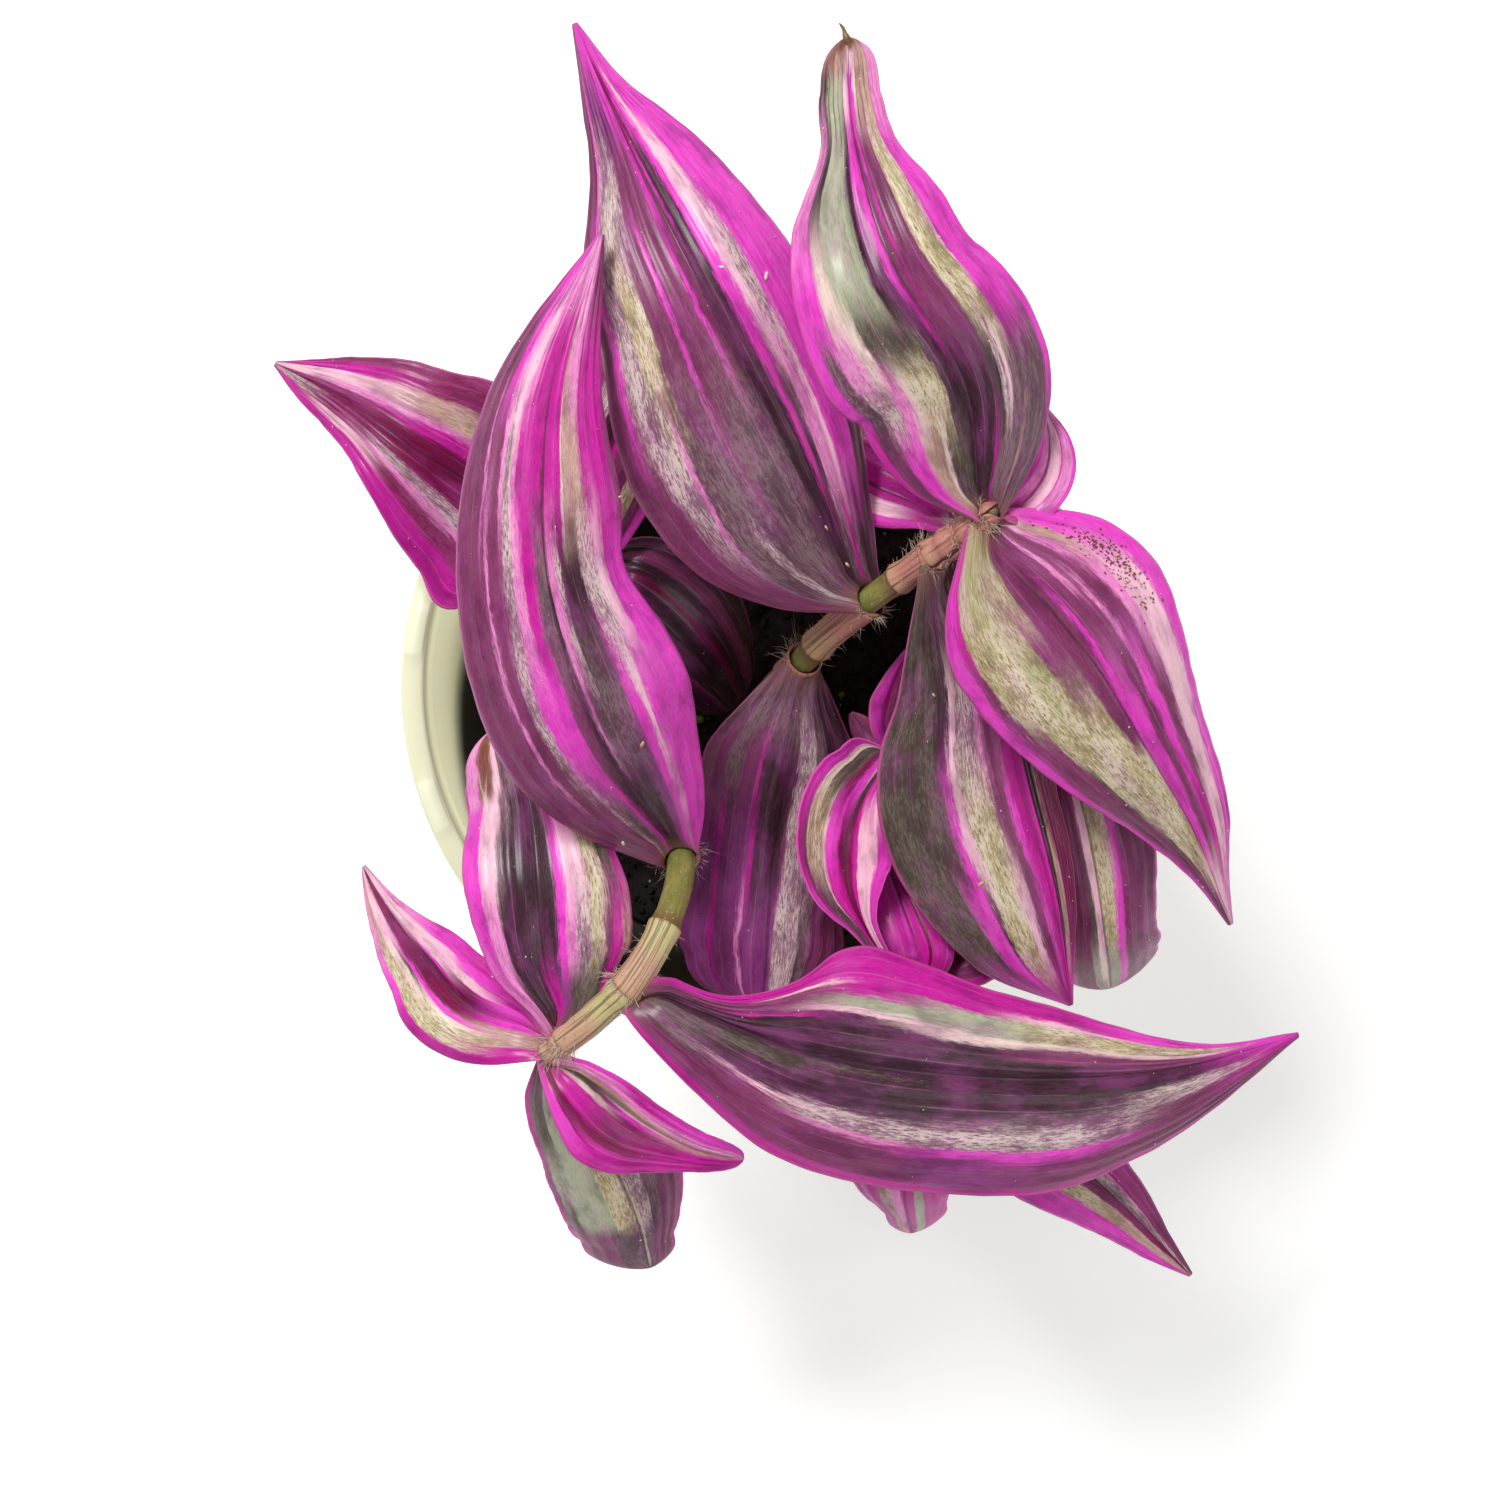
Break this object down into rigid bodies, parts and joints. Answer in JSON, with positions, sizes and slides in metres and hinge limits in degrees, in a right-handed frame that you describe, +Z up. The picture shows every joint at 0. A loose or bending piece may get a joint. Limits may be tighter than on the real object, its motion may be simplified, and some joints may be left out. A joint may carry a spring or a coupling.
{
  "type": "potted tradescantia",
  "caption": "Trailing house plant with pointed purple, magenta and silver striped leaves on clasping sheaths, growing from dark soil in a round cream plastic nursery pot.",
  "frame": {"origin": "middle of the pot's foot, on the surface that the pot stands on", "axes": "+Z up along the pot's axis, +Y towards the top of the picture, +X to its right"},
  "size_m": [0.1501, 0.1808, 0.1501],
  "materials": {
    "pot": "cream, slightly glossy moulded plastic",
    "soil": "moist dark potting soil",
    "stem": "soft olive green living stem",
    "leaf_plum": "soft living leaf, plum with silver and pink stripes",
    "leaf_magenta": "soft living leaf, magenta with pale pink stripes",
    "leaf_violet": "soft living leaf, dark violet with faint silver",
    "leaf_olive": "soft living leaf, dark olive and plum with sage silver band",
    "leaf_sage": "soft living leaf, silvery sage green"
  },
  "bodies": {
    "root": {"pot": "pot", "soil": "soil", "stem_a": "stem", "stem_b": "stem", "stem_c": "stem", "stem_d": "stem", "stem_e": "stem", "stem_f": "stem", "leaf_a1": "leaf_violet", "leaf_a2": "leaf_plum", "leaf_a3": "leaf_olive", "leaf_a4": "leaf_magenta", "leaf_a5": "leaf_plum", "leaf_a6": "leaf_plum", "leaf_a7": "leaf_magenta", "leaf_b1": "leaf_plum", "leaf_b2": "leaf_plum", "leaf_b3": "leaf_plum", "leaf_b4": "leaf_magenta", "leaf_b5": "leaf_sage", "leaf_b6": "leaf_magenta", "leaf_c1": "leaf_violet", "leaf_c2": "leaf_magenta", "leaf_c3": "leaf_violet", "leaf_d1": "leaf_magenta", "leaf_d2": "leaf_magenta", "leaf_e1": "leaf_magenta", "leaf_e2": "leaf_magenta", "leaf_e3": "leaf_magenta", "leaf_e4": "leaf_magenta", "leaf_e5": "leaf_violet", "leaf_f1": "leaf_plum", "leaf_f2": "leaf_plum"}
  },
  "joints": []
}
